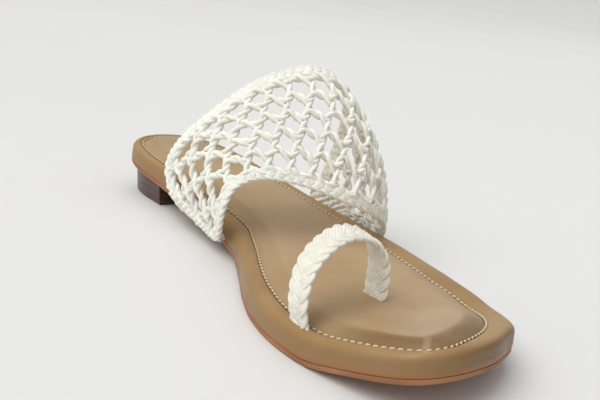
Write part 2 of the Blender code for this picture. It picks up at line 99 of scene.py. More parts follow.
def through(rows: Sequence[Sequence[float]], steps: Sequence[int], joint: Joint) -> np.ndarray:
    """Points of a smooth curve through rows.

    Args:
        rows: the points it passes.
        steps: how many steps it takes from each row to the next.
        joint: open or closed.

    Returns:
        An array with one row per point.
    """
    table = np.asarray(rows, float)
    if joint is Joint.CLOSED:
        before, after = np.roll(table, 1, 0), np.roll(table, -1, 0)
    else:
        before = np.vstack([2 * table[0] - table[1], table[:-1]])
        after = np.vstack([table[1:], 2 * table[-1] - table[-2]])
    slope = (after - before) / 2
    count = len(table)
    spans = count if joint is Joint.CLOSED else count - 1
    points = [
        hermite(table[i], table[(i + 1) % count], slope[i], slope[(i + 1) % count], x)
        for i in range(spans)
        for x in np.arange(steps[i]) / steps[i]
    ]
    if joint is Joint.OPEN:
        points.append(table[-1])
    return np.array(points)


def evenly(line: np.ndarray, step: float) -> np.ndarray:
    """A line of points set again at even spacing.

    Args:
        line: points in order.
        step: spacing wanted, which is rounded to fit.

    Returns:
        The new points, ends kept.
    """
    run = lengths(line)
    count = max(2, int(round(run[-1] / step)))
    even = np.linspace(0, run[-1], count + 1)
    return np.column_stack([np.interp(even, run, line[:, k]) for k in range(line.shape[1])])


def lengths(line: np.ndarray) -> np.ndarray:
    """Length along a line at each of its points."""
    return np.concatenate([[0.0], np.cumsum(np.linalg.norm(np.diff(line, axis=0), axis=1))])


def wobble(*seed: float) -> float:
    """A fixed number from -1 to 1 that differs from seed to seed."""
    mixed = math.sin(sum((i + 1) * 12.9898 * x for i, x in enumerate(seed)) + 4.1) * 43758.5453
    return 2 * (mixed - math.floor(mixed)) - 1


# ---------------------------------------------------------------- the sandal's form
@dataclass(frozen=True)
class Last:
    """The form that sole and insole share: side profile and two outlines."""

    length: float = 250.0
    side_steps: int = 5
    end_steps: int = 4
    outsole: float = 2.0
    gap: float = 0.3
    recess: float = 1.7
    profile: tuple = (  # s, top of rim, underside
        (0.0, 27.0, 16.4),
        (25.0, 24.4, 13.8),
        (50.0, 21.5, 10.9),
        (75.0, 18.1, 7.5),
        (100.0, 15.0, 4.4),
        (125.0, 13.1, 2.4),
        (150.0, 12.0, 1.1),
        (172.0, 11.2, 0.0),
        (206.0, 11.2, 0.0),
        (225.0, 15.0, 4.3),
        (240.0, 19.2, 8.6),
        (252.0, 23.0, 12.4),
    )
    heel_arc: tuple = (  # outline s, w; insole s, w
        (6.0, 15.5, 11.0, 10.5),
        (1.5, 8.0, 7.4, 4.8),
        (0.0, -2.0, 5.8, -2.4),
        (1.5, -11.0, 7.2, -9.4),
    )
    inner_side: tuple = (
        (6.0, -19.0, 10.8, -15.4),
        (15.0, -24.5, 17.8, -19.8),
        (30.0, -26.0, 31.0, -21.2),
        (50.0, -23.6, 50.0, -18.8),
        (72.0, -21.2, 72.0, -15.6),
        (100.0, -19.5, 100.0, -11.8),
        (120.0, -21.6, 118.0, -12.6),
        (132.0, -25.6, 130.0, -16.8),
        (145.0, -31.2, 143.0, -22.2),
        (160.0, -38.0, 157.0, -28.6),
        (177.0, -43.5, 173.0, -34.4),
        (197.0, -45.3, 193.0, -38.4),
        (220.0, -41.2, 216.0, -36.6),
    )
    toe_edge: tuple = (
        (243.2, -32.6, 239.0, -29.2),
        (249.9, -19.2, 244.4, -20.5),
        (248.6, -2.8, 241.8, -8.5),
        (243.4, 9.8, 236.2, 5.0),
    )
    outer_side: tuple = (
        (235.4, 23.2, 228.4, 15.8),
        (220.0, 34.2, 218.0, 23.7),
        (206.0, 41.4, 203.0, 29.5),
        (190.0, 44.5, 187.0, 32.0),
        (172.0, 46.9, 170.0, 34.8),
        (150.0, 47.8, 148.0, 36.6),
        (127.0, 46.6, 126.0, 36.4),
        (110.0, 44.2, 109.0, 35.4),
        (95.0, 41.8, 95.0, 34.0),
        (75.0, 38.3, 76.0, 31.0),
        (55.0, 34.3, 56.0, 27.2),
        (35.0, 30.8, 36.0, 23.6),
        (17.0, 25.0, 20.0, 17.8),
    )

    def read(self, s: np.ndarray, column: int) -> np.ndarray:
        """Height along the foot.

        Args:
            s: places along the foot.
            column: 1 for the rim, 2 for the underside.

        Returns:
            Heights, level where two rows of the profile are.
        """
        xs = np.array([row[0] for row in self.profile])
        ys = np.array([row[column] for row in self.profile])
        rise = np.diff(ys) / np.diff(xs)
        inner = np.where(rise[1:] * rise[:-1] > 0, (rise[1:] + rise[:-1]) / 2, 0.0)
        slope = np.concatenate([rise[:1], inner, rise[-1:]])
        s = np.clip(s, xs[0], xs[-1])
        i = np.clip(np.searchsorted(xs, s) - 1, 0, len(xs) - 2)
        step = xs[i + 1] - xs[i]
        return hermite(ys[i], ys[i + 1], slope[i] * step, slope[i + 1] * step, (s - xs[i]) / step)

    def rim(self, s: np.ndarray) -> np.ndarray:
        """Height of the rim at s."""
        return self.read(s, 1)

    def under(self, s: np.ndarray) -> np.ndarray:
        """Height of the sole's underside at s."""
        return self.read(s, 2)

    def outlines(self) -> tuple[np.ndarray, np.ndarray]:
        """The rings of the sole and of the insole, point facing point.

        Returns:
            Two arrays of (s, w) points, each closed and in the same order.
        """
        rows: list = []
        steps: list = []
        for part, count in (
            (self.heel_arc, self.end_steps),
            (self.inner_side, self.side_steps),
            (self.toe_edge, self.end_steps),
            (self.outer_side, self.side_steps),
        ):
            rows += list(part)
            steps += [count] * len(part)
        points = through(rows, steps, Joint.CLOSED)
        return points[:, :2], points[:, 2:]

    def patch(self, ring: np.ndarray) -> np.ndarray:
        """Points inside a ring in rows across the foot.

        Args:
            ring: (s, w) points in the order of outlines().

        Returns:
            An array of rows, columns, (s, w); its border is the ring.
        """
        across = len(self.heel_arc) * self.end_steps
        along = len(self.inner_side) * self.side_steps
        heel = ring[: across + 1][::-1]
        inner = ring[across : across + along + 1]
        toe = ring[across + along : 2 * across + along + 1]
        outer = np.vstack([ring[2 * across + along :], ring[:1]])[::-1]
        x = np.linspace(0, 1, across + 1)[None, :, None]
        y = np.linspace(0, 1, along + 1)[:, None, None]
        sides = inner[:, None] * (1 - x) + outer[:, None] * x
        ends = heel[None] * (1 - y) + toe[None] * y
        low = heel[0] * (1 - x) + heel[-1] * x
        high = toe[0] * (1 - x) + toe[-1] * x
        return sides + ends - (low * (1 - y) + high * y)

    def grid(self, ring: np.ndarray, height: Height) -> np.ndarray:
        """Cap of (s, w, z) points inside a ring, at a height that depends on s."""
        patch = self.patch(ring)
        return np.dstack([patch, height(patch[..., 0])])


def inset(ring: np.ndarray, distance: float) -> np.ndarray:
    """A closed ring moved inwards.

    Args:
        ring: its (s, w) points.
        distance: how far, outwards where it is negative.

    Returns:
        The moved points.
    """
    along = np.roll(ring, -1, 0) - np.roll(ring, 1, 0)
    along /= np.linalg.norm(along, axis=1)[:, None]
    inwards = np.column_stack([-along[:, 1], along[:, 0]])
    area = np.sum(ring[:, 0] * np.roll(ring[:, 1], -1) - np.roll(ring[:, 0], -1) * ring[:, 1])
    return ring + inwards * distance * np.sign(area)


@dataclass(frozen=True)
class Place:
    """Turns the sandal's own (s, w, z) in millimetres into the frame's metres."""

    shift: float
    length: float

    def __call__(self, points: np.ndarray) -> np.ndarray:
        """Points in the frame.

        Args:
            points: an array whose last axis is (s, w, z).

        Returns:
            The same in metres.
        """
        points = np.asarray(points, float)
        return np.stack(
            [points[..., 1] - self.shift, self.length / 2 - points[..., 0], points[..., 2]], axis=-1
        ) / 1000


# ---------------------------------------------------------------- the workbench
class Bench:
    """Operators and modifiers, used on one piece at a time."""

    @staticmethod
    def clear() -> None:
        """Leaves edit mode and deselects everything."""
        if bpy.context.object and bpy.context.mode != "OBJECT":
            bpy.ops.object.mode_set(mode="OBJECT")
        bpy.ops.object.select_all(action="DESELECT")

    @classmethod
    def take(cls, piece: bpy.types.Object) -> None:
        """Makes a piece the only selected and the active one.

        Args:
            piece: the piece.
        """
        cls.clear()
        piece.select_set(True)
        bpy.context.view_layer.objects.active = piece

    @staticmethod
    def editing(piece: bpy.types.Object) -> bmesh.types.BMesh:
        """The mesh of a piece that is in edit mode."""
        return bmesh.from_edit_mesh(piece.data)

    @classmethod
    def apply(cls, piece: bpy.types.Object, kind: str, **settings: object) -> None:
        """Adds a modifier to a piece and applies it.

        Args:
            piece: the piece.
            kind: the modifier's type.
            **settings: its properties.
        """
        cls.take(piece)
        modifier = piece.modifiers.new(kind.lower(), kind)
        for key, value in settings.items():
            setattr(modifier, key, value)
        bpy.ops.object.modifier_apply(modifier=modifier.name)

    @classmethod
    def subdivide(cls, piece: bpy.types.Object, levels: int) -> None:
        """Rounds a piece by subdivision and applies it."""
        cls.apply(piece, "SUBSURF", levels=levels, render_levels=levels)

    @classmethod
    def smooth(cls, piece: bpy.types.Object, degrees: float = 180.0) -> None:
        """Shades a piece smooth across edges flatter than an angle."""
        cls.take(piece)
        bpy.ops.object.shade_smooth_by_angle(angle=math.radians(degrees))

    @classmethod
    def join(cls, name: str, pieces: Sequence[bpy.types.Object]) -> bpy.types.Object:
        """One object from several.

        Args:
            name: its name.
            pieces: what goes into it.

        Returns:
            The joined object.
        """
        cls.take(pieces[0])
        for piece in pieces:
            piece.select_set(True)
        if len(pieces) > 1:
            bpy.ops.object.join()
        pieces[0].name = name
        pieces[0].data.name = name
        return pieces[0]

    @classmethod
    def drop(cls, piece: bpy.types.Object) -> None:
        """Deletes a helper."""
        cls.clear()
        bpy.data.objects.remove(piece)


@dataclass
class Level:
    """One ring of a lofted piece and the value that its skin carries there."""

    points: np.ndarray
    share: float


class Loft:
    """A closed piece: a grid for one cap, extruded ring by ring, and a grid for the other."""

    RING, SHARE = "ring", "share"

    def __init__(self, name: str, place: Place) -> None:
        """Keeps the piece's name and the way into the frame."""
        self.name = name
        self.place = place

    def build(self, first: np.ndarray, levels: Sequence[Level], last: np.ndarray
              ) -> bpy.types.Object:
        """Makes the piece.

        Args:
            first: grid of (s, w, z) for the first cap.
            levels: rings from it to the last cap, in the order of border().
            last: grid of (s, w, z) for the last cap, of the same size.

        Returns:
            The object, with faces outwards.
        """
        Bench.clear()
        rows, columns = first.shape[:2]
        bpy.ops.mesh.primitive_grid_add(x_subdivisions=columns - 1, y_subdivisions=rows - 1, size=1)
        piece = bpy.context.object
        piece.name = self.name
        piece.data.name = self.name
        bpy.ops.object.mode_set(mode="EDIT")
        mesh = Bench.editing(piece)
        mesh.verts.layers.int.new(self.RING)
        mesh.verts.layers.float.new(self.SHARE)
        self._lay_cap(piece, first, levels[0].share)
        self._select_open_edge(piece)
        for level in levels[1:]:
            bpy.ops.mesh.extrude_region_move()
            self._lay_ring(piece, level)
        bpy.ops.mesh.primitive_grid_add(x_subdivisions=columns - 1, y_subdivisions=rows - 1, size=1)
        self._lay_cap(piece, last, levels[-1].share)
        bpy.ops.mesh.select_all(action="SELECT")
        bpy.ops.mesh.remove_doubles(threshold=1e-6)
        bpy.ops.mesh.normals_make_consistent(inside=False)
        bpy.ops.object.mode_set(mode="OBJECT")
        return piece

    @staticmethod
    def border(rows: int, columns: int) -> list[tuple[int, int]]:
        """Cells round a grid.

        Args:
            rows: how many rows it has.
            columns: how many columns.

        Returns:
            Row and column of each cell, in order.
        """
        cells = [(0, j) for j in range(columns)]
        cells += [(i, columns - 1) for i in range(1, rows)]
        cells += [(rows - 1, j) for j in range(columns - 2, -1, -1)]
        return cells + [(i, 0) for i in range(rows - 2, 0, -1)]

    @classmethod
    def levels(cls, grids: Sequence[np.ndarray], shares: Iterable[float]) -> list[Level]:
        """The border of each grid as a level.

        Args:
            grids: caps of the same size, from the first to the last.
            shares: value of the skin at each.

        Returns:
            One level for each grid.
        """
        cells = cls.border(*grids[0].shape[:2])
        return [Level(np.array([grid[cell] for cell in cells]), share)
                for grid, share in zip(grids, shares)]

    def _lay_cap(self, piece: bpy.types.Object, grid: np.ndarray, share: float) -> None:
        """Lays the selected flat grid on the points of a cap.

        Args:
            piece: the piece in edit mode.
            grid: where its points go.
            share: value of the skin on it.
        """
        mesh = Bench.editing(piece)
        ring = mesh.verts.layers.int.get(self.RING)
        skin = mesh.verts.layers.float.get(self.SHARE)
        rows, columns = grid.shape[:2]
        order = {cell: k for k, cell in enumerate(self.border(rows, columns))}
        where = self.place(grid)
        for vert in [v for v in mesh.verts if v.select]:
            cell = (round((vert.co.y + 0.5) * (rows - 1)), round((vert.co.x + 0.5) * (columns - 1)))
            vert.co = where[cell]
            vert[ring] = order.get(cell, -1)
            vert[skin] = share
        bmesh.update_edit_mesh(piece.data)

    def _lay_ring(self, piece: bpy.types.Object, level: Level) -> None:
        """Moves the selected ring to its level.

        Args:
            piece: the piece in edit mode.
            level: where its points go, and the skin's value there.
        """
        mesh = Bench.editing(piece)
        ring = mesh.verts.layers.int.get(self.RING)
        skin = mesh.verts.layers.float.get(self.SHARE)
        where = self.place(level.points)
        for vert in [v for v in mesh.verts if v.select]:
            vert.co = where[vert[ring]]
            vert[skin] = level.share
        bmesh.update_edit_mesh(piece.data)

    @staticmethod
    def _select_open_edge(piece: bpy.types.Object) -> None:
        """Selects the open edge of a piece alone.

        Args:
            piece: the piece in edit mode.
        """
        bpy.ops.mesh.select_all(action="DESELECT")
        bpy.ops.mesh.select_mode(type="EDGE")
        mesh = Bench.editing(piece)
        for edge in mesh.edges:
            edge.select_set(edge.is_boundary)
        bmesh.update_edit_mesh(piece.data)


class CordMaker:
    """Makes laces as swept curves, all in one mesh."""

    STEP = 0.62        # spacing of a lace's points
    HUG = 0.9          # a twisted lace off the middle of its pair, in radii
    APART = 1.45       # laces of a ribbon from each other, in radii

    def __init__(self, place: Place) -> None:
        """Keeps the way into the frame and a list of lines for each radius."""
        self.place = place
        self.runs: dict[float, list[np.ndarray]] = {}

    def lace(self, line: np.ndarray, radius: float) -> None:
        """Adds one round lace along points."""
        self.runs.setdefault(round(radius, 3), []).append(self.place(evenly(line, self.STEP)))

    def pair(self, line: np.ndarray, radius: float, turn: float, phase: float = 0.0) -> None:
        """Adds two laces twisted about each other.

        Args:
            line: points of the middle line.
            radius: of each lace.
            turn: length of one whole turn.
            phase: where the twist starts.
        """
        line = evenly(line, self.STEP)
        side, up = self._frames(line)
        angle = 2 * math.pi * lengths(line) / turn + phase
        offset = side * np.cos(angle)[:, None] + up * np.sin(angle)[:, None]
        for sign in (1, -1):
            self.lace(line + offset * (self.HUG * radius * sign), radius)

    def ribbon(self, line: np.ndarray, out: np.ndarray, radius: float, count: int) -> None:
        """Adds laces pressed together side by side.

        Args:
            line: points of the middle line.
            out: direction that the ribbon faces at each point.
            radius: of each lace.
            count: how many lie side by side.
        """
        side = np.cross(out, np.gradient(line, axis=0))
        side /= np.linalg.norm(side, axis=1)[:, None]
        for i in range(count):
            self.lace(line + side * ((i - (count - 1) / 2) * self.APART * radius), radius)

    @staticmethod
    def _frames(line: np.ndarray) -> tuple[np.ndarray, np.ndarray]:
        """Two directions across a line, carried along it without twist.

        Args:
            line: its points.

        Returns:
            Side and up directions at each point.
        """
        along = np.gradient(line, axis=0)
        along /= np.linalg.norm(along, axis=1)[:, None]
        first = np.cross(along[0], [0.31, 0.17, 0.94])
        side = np.empty_like(line)
        side[0] = first / np.linalg.norm(first)
        for i in range(1, len(line)):
            kept = side[i - 1] - along[i] * np.dot(side[i - 1], along[i])
            side[i] = kept / np.linalg.norm(kept)
        return side, np.cross(along, side)

    def build(self, name: str) -> bpy.types.Object:
        """Makes the mesh.

        Args:
            name: the piece's name.

        Returns:
            One smooth mesh object.
        """
        made = []
        for radius, lines in sorted(self.runs.items()):
            Bench.clear()
            bpy.ops.curve.primitive_nurbs_path_add()
            piece = bpy.context.object
            curve = piece.data
            curve.splines.clear()
            curve.dimensions = "3D"
            curve.bevel_depth = radius / 1000
            curve.bevel_resolution = 1
            curve.use_fill_caps = True
            for line in lines:
                spline = curve.splines.new("POLY")
                spline.points.add(len(line) - 1)
                flat = np.column_stack([line, np.ones(len(line))]).ravel()
                spline.points.foreach_set("co", flat)
                spline.use_smooth = True
            bpy.ops.object.convert(target="MESH")
            made.append(bpy.context.object)
        whole = Bench.join(name, made)
        Bench.smooth(whole)
        return whole


# ---------------------------------------------------------------- finishes
class Shader:
    """A small builder for one material's nodes."""

    def __init__(self, name: str) -> None:
        """Starts a material with a Principled shader.

        Args:
            name: the material's name.
        """
        self.material = bpy.data.materials.new(name)
        self.material.use_nodes = True
        self.nodes = self.material.node_tree.nodes
        self.links = self.material.node_tree.links
        self.principled = self.nodes["Principled BSDF"]
        self.where = self.nodes.new("ShaderNodeTexCoord").outputs["Object"]

    def add(self, kind: str, inputs: dict | None = None, **settings: object) -> bpy.types.Node:
        """Adds a node.

        Args:
            kind: its type, without the ShaderNode prefix.
            inputs: values or sockets for its inputs.
            **settings: its properties.

        Returns:
            The node.
        """
        node = self.nodes.new("ShaderNode" + kind)
        for key, value in settings.items():
            setattr(node, key, value)
        for key, value in (inputs or {}).items():
            self.put(node.inputs[key], value)
        return node

    def put(self, socket: bpy.types.NodeSocket, value: object) -> None:
        """Links a socket to another, or sets its value.

        Args:
            socket: the input.
            value: an output, a number, or a colour of three or four numbers.
        """
        if isinstance(value, bpy.types.NodeSocket):
            self.links.new(value, socket)
        elif hasattr(value, "__len__") and len(value) == 3 and len(socket.default_value) == 4:
            socket.default_value = (*value, 1.0)
        else:
            socket.default_value = value

    def noise(self, scale: float, detail: float, stretch: tuple | None = None
              ) -> bpy.types.NodeSocket:
        """Noise from 0 to 1.

        Args:
            scale: cycles in a metre.
            detail: octaves.
            stretch: scale of each axis before that.

        Returns:
            The value's socket.
        """
        where = self.where
        if stretch:
            where = self.add("Mapping", {"Vector": where, "Scale": stretch}).outputs["Vector"]
        inputs = {"Vector": where, "Scale": scale, "Detail": detail, "Roughness": 0.55}
        return self.add("TexNoise", inputs).outputs[0]

    def ramp(self, value: bpy.types.NodeSocket, low: float, high: float,
             to_low: float = 0.0, to_high: float = 1.0) -> bpy.types.NodeSocket:
        """A value stretched smoothly from one range to another."""
        inputs = {"Value": value, 1: low, 2: high, 3: to_low, 4: to_high}
        return self.add("MapRange", inputs, interpolation_type="SMOOTHSTEP").outputs[0]

    def mix(self, share: object, a: object, b: object) -> bpy.types.NodeSocket:
        """A colour between two.

        Args:
            share: 0 for the first colour, 1 for the second.
            a: the first.
            b: the second.

        Returns:
            The colour's socket.
        """
        node = self.add("Mix", data_type="RGBA")
        self.put(node.inputs["Factor"], share)
        self.put(node.inputs[6], a)
        self.put(node.inputs[7], b)
        return node.outputs[2]

    def math(self, operation: str, a: object, b: object = 0.0) -> bpy.types.NodeSocket:
        """One step of arithmetic."""
        return self.add("Math", {0: a, 1: b}, operation=operation).outputs[0]

    def relief(self, height: bpy.types.NodeSocket, depth: float, strength: float = 1.0,
               under: bpy.types.NodeSocket | None = None) -> bpy.types.NodeSocket:
        """A bump.

        Args:
            height: its shape, 0 to 1.
            depth: its height in metres.
            strength: how much of it shows.
            under: a bump that it lies on.

        Returns:
            The normal's socket.
        """
        inputs = {"Height": height, "Distance": depth, "Strength": strength}
        if under is not None:
            inputs["Normal"] = under
        return self.add("Bump", inputs).outputs["Normal"]

    def streak(self, start: tuple, end: tuple, width: float) -> bpy.types.NodeSocket:
        """A soft line seen from above.

        Args:
            start: (x, y) of one end, in metres.
            end: (x, y) of the other.
            width: half its width, in metres.

        Returns:
            A value of 1 along the line and 0 away from it.
        """
        a, b = Vector((*start, 0.0)), Vector((*end, 0.0))
        along = (b - a).normalized()
        across = Vector((-along.y, along.x, 0.0))
        reach = (b - a).length
        parts = []
        for axis, low, high in ((across, width, 0.25 * width), (along, reach / 2, 0.25 * reach)):
            middle = axis.dot((a + b) / 2)
            put = self.add("VectorMath", {0: self.where, 1: tuple(axis)}, operation="DOT_PRODUCT")
            away = self.math("ABSOLUTE", self.math("SUBTRACT", put.outputs["Value"], middle))
            parts.append(self.ramp(away, high, low, 1.0, 0.0))
        return self.math("MULTIPLY", *parts)

    def slope(self, course: tuple, low: float, high: float) -> bpy.types.NodeSocket:
        """A value that changes smoothly along a level direction.

        Args:
            course: x and y of the direction, and where along it the change starts and ends.
            low: value before it.
            high: value after it.

        Returns:
            The value's socket.
        """
        x, y, start, end = course
        along = self.add("VectorMath", {0: self.where, 1: (x, y, 0.0)}, operation="DOT_PRODUCT")
        return self.ramp(along.outputs["Value"], start, end, low, high)

    def finish(self, colour: object, roughness: object, normal: object = None,
               **values: object) -> bpy.types.Material:
        """Wires the shader.

        Args:
            colour: base colour.
            roughness: its roughness.
            normal: a bump, if any.
            **values: plain values of other sockets, with _ for a space.

        Returns:
            The material.
        """
        self.put(self.principled.inputs["Base Color"], colour)
        self.put(self.principled.inputs["Roughness"], roughness)
        if normal is not None:
            self.put(self.principled.inputs["Normal"], normal)
        for key, value in values.items():
            self.put(self.principled.inputs[key.replace("_", " ")], value)
        return self.material


@dataclass(frozen=True)
class TanLeather:
    """Smooth tan leather, warmer down the side of the sole and darker there with painted shade."""

    name: str
    light: tuple = (0.37, 0.225, 0.088)
    dark: tuple = (0.31, 0.175, 0.062)
    # side: painted shade, the colour that the side darkens towards
    side: tuple = (0.25, 0.145, 0.058)
    side_shade_mix: float = 0.65
    shade_at_toe: tuple = ()  # where the painted shade on the side is full: direction x, y; from, to
    toe_shade_course: tuple = (0.6, -0.8, 0.080, 0.101)  # where painted shade darkens the toe: direction x, y; from, to
    # colour of the painted shade at the toe
    toe_shade: tuple = (0.15, 0.07, 0.018)
    toe_shade_mix: float = 0.82
    low: tuple = (0.36, 0.140, 0.050)
    # lighter colour painted along each pleat
    pleat_tint: tuple = (0.55, 0.42, 0.28)
    roughness: float = 0.40
    pleats: tuple = (  # start x, y; end x, y; half width
        (-0.0225, -0.1120, -0.0294, -0.1186, 0.0017),
        (-0.0290, -0.1180, -0.0308, -0.1200, 0.0010),
    )

    def material(self) -> bpy.types.Material:
        """Leather whose side darkens with painted shade, by the share that the piece's skin
        carries.

        Returns:
            The material, with grain, clouds, pleats, painted shade at the toe and a warmer lower
            edge.
        """
        shader = Shader(self.name)
        clouds = shader.ramp(shader.noise(26.0, 3.0), 0.34, 0.66)
        colour = shader.mix(clouds, self.dark, self.light)
        flecks = shader.ramp(shader.noise(420.0, 2.0), 0.52, 0.74)
        colour = shader.mix(shader.math("MULTIPLY", flecks, 0.16), colour, self.dark)
        share = shader.add("Attribute", attribute_name=Loft.SHARE).outputs["Fac"]
        # painted shade down the side; it grows with the skin's share and, where a toe course is
        # given, is strongest on the side that faces the toe
        side_shade = shader.ramp(share, 0.1, 0.6, 0.0, self.side_shade_mix)
        if self.shade_at_toe:
            side_shade = shader.math("MULTIPLY", side_shade, shader.slope(self.shade_at_toe, 0.25, 1.0))
        colour = shader.mix(side_shade, colour, self.side)
        # painted shade on the toe end of the side and rim, where it faces away from the light
        toe = shader.slope(self.toe_shade_course, 0.0, self.toe_shade_mix)
        colour = shader.mix(shader.math("MULTIPLY", toe, shader.ramp(share, 0.05, 0.3)),
                            colour, self.toe_shade)
        colour = shader.mix(shader.ramp(share, 0.62, 1.0, 0.0, 0.85), colour, self.low)
        pores = shader.add("TexVoronoi", {"Vector": shader.where, "Scale": 1500.0}).outputs[0]
        grain = shader.relief(pores, 0.00006, 0.35)
        soft = shader.relief(shader.noise(150.0, 4.0), 0.0003, 0.22, grain)
        for x0, y0, x1, y1, width in self.pleats:
            pleat = shader.streak((x0, y0), (x1, y1), width)
            colour = shader.mix(shader.math("MULTIPLY", pleat, 0.3), colour, self.pleat_tint)
            soft = shader.relief(pleat, 0.0002, 0.5, soft)
        rough = shader.ramp(shader.noise(60.0, 3.0), 0.3, 0.7, self.roughness - 0.04,
                            self.roughness + 0.06)
        return shader.finish(colour, rough, soft, Specular_IOR_Level=0.5)


@dataclass(frozen=True)
class Cotton:
    """Ivory cotton cord with fine fibres."""

    name: str
    light: tuple = (0.94, 0.935, 0.87)
    dark: tuple = (0.87, 0.86, 0.775)

    def material(self) -> bpy.types.Material:
        """Matt cotton, a little fuzzy.

        Returns:
            The material.
        """
        shader = Shader(self.name)
        fibres = shader.noise(2600.0, 2.0)
        clouds = shader.ramp(shader.noise(220.0, 2.0), 0.35, 0.7)
        colour = shader.mix(clouds, self.dark, self.light)
        colour = shader.mix(shader.ramp(fibres, 0.45, 0.75, 0.0, 0.25), colour, self.dark)
        normal = shader.relief(fibres, 0.00012, 0.6)
        return shader.finish(colour, 0.9, normal, Sheen_Weight=0.15, Specular_IOR_Level=0.2)


@dataclass(frozen=True)
class Thread:
    """Cream stitching thread."""

    name: str = "cream_thread"
    light: tuple = (0.70, 0.60, 0.44)
    dark: tuple = (0.56, 0.46, 0.32)

    def material(self) -> bpy.types.Material:
        """Waxed thread with fine fibres.

        Returns:
            The material.
        """
        shader = Shader(self.name)
        fibres = shader.noise(4000.0, 2.0)
        colour = shader.mix(shader.ramp(fibres, 0.3, 0.7), self.light, self.dark)
        return shader.finish(colour, 0.7, shader.relief(fibres, 0.00005, 0.5))


@dataclass(frozen=True)
class SoleEdge:
    """Terracotta sheet under the foot, scuffed along its edge."""

    name: str = "terracotta_sheet"
    light: tuple = (0.40, 0.185, 0.08)
    dark: tuple = (0.30, 0.13, 0.055)
    dirt: tuple = (0.18, 0.085, 0.045)

    def material(self) -> bpy.types.Material:
        """Ribbed sheet with grit on it.

        Returns:
            The material.
        """
        shader = Shader(self.name)
        clouds = shader.ramp(shader.noise(45.0, 3.0), 0.35, 0.65)
        colour = shader.mix(clouds, self.dark, self.light)
        grit = shader.noise(900.0, 3.0)
        colour = shader.mix(shader.ramp(grit, 0.55, 0.8, 0.0, 0.35), colour, self.dirt)
        ribs = shader.add("TexWave", {"Vector": shader.where, "Scale": 130.0, "Distortion": 0.6},
                          bands_direction="DIAGONAL").outputs[1]
        normal = shader.relief(grit, 0.0001, 0.5, shader.relief(ribs, 0.00012, 0.35))
        return shader.finish(colour, 0.62, normal)


@dataclass(frozen=True)
class StackedHeel:
    """Dark red-brown heel in thin layers."""

    name: str = "stacked_heel"
    light: tuple = (0.085, 0.031, 0.020)
    dark: tuple = (0.035, 0.014, 0.010)
    scuffed: tuple = (0.12, 0.05, 0.03)

    def material(self) -> bpy.types.Material:
        """Stained, polished layers with a fine grain along them.

        Returns:
            The material.
        """
        shader = Shader(self.name)
        layers = shader.add("TexWave", {"Vector": shader.where, "Scale": 95.0, "Distortion": 0.5,
                                        "Detail": 2.0, "Detail Scale": 3.0},
                            bands_direction="Z").outputs[1]
        grain = shader.noise(300.0, 4.0, stretch=(1.0, 1.0, 5.0))
        colour = shader.mix(shader.ramp(layers, 0.3, 0.8), self.dark, self.light)
        colour = shader.mix(shader.ramp(grain, 0.45, 0.75, 0.0, 0.4), colour, self.scuffed)
        normal = shader.relief(grain, 0.0001, 0.4, shader.relief(layers, 0.00015, 0.4))
        return shader.finish(colour, 0.38, normal, Coat_Weight=0.15, Coat_Roughness=0.25)


@dataclass(frozen=True)
class Paper:
    """Plain pale backdrop."""

    name: str = "pale_backdrop"
    colour: tuple = (0.76, 0.76, 0.752)
    shade: float = 0.985

    def material(self) -> bpy.types.Material:
        """Matt paper with the faintest clouds.

        Returns:
            The material.
        """
        shader = Shader(self.name)
        colour = shader.mix(shader.ramp(shader.noise(2.0, 1.0), 0.3, 0.7), self.colour,
                            tuple(c * self.shade for c in self.colour))
        return shader.finish(colour, 0.85, Specular_IOR_Level=0.2)


# ---------------------------------------------------------------- sub-assemblies
def adopt(piece: bpy.types.Object, material: bpy.types.Material,
          nodes: Iterable[str] = ()) -> bpy.types.Object:
    """Dresses a piece and ties it to the frame.

    Args:
        piece: the piece.
        material: its finish.
        nodes: CAD nodes that it stands for.

    Returns:
        The piece.
    """
    piece.data.materials.clear()
    piece.data.materials.append(material)
    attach(piece, BODY)
    if nodes:
        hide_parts(*nodes)
    LOG.info("%s: %d faces", piece.name, len(piece.data.polygons))
    return piece


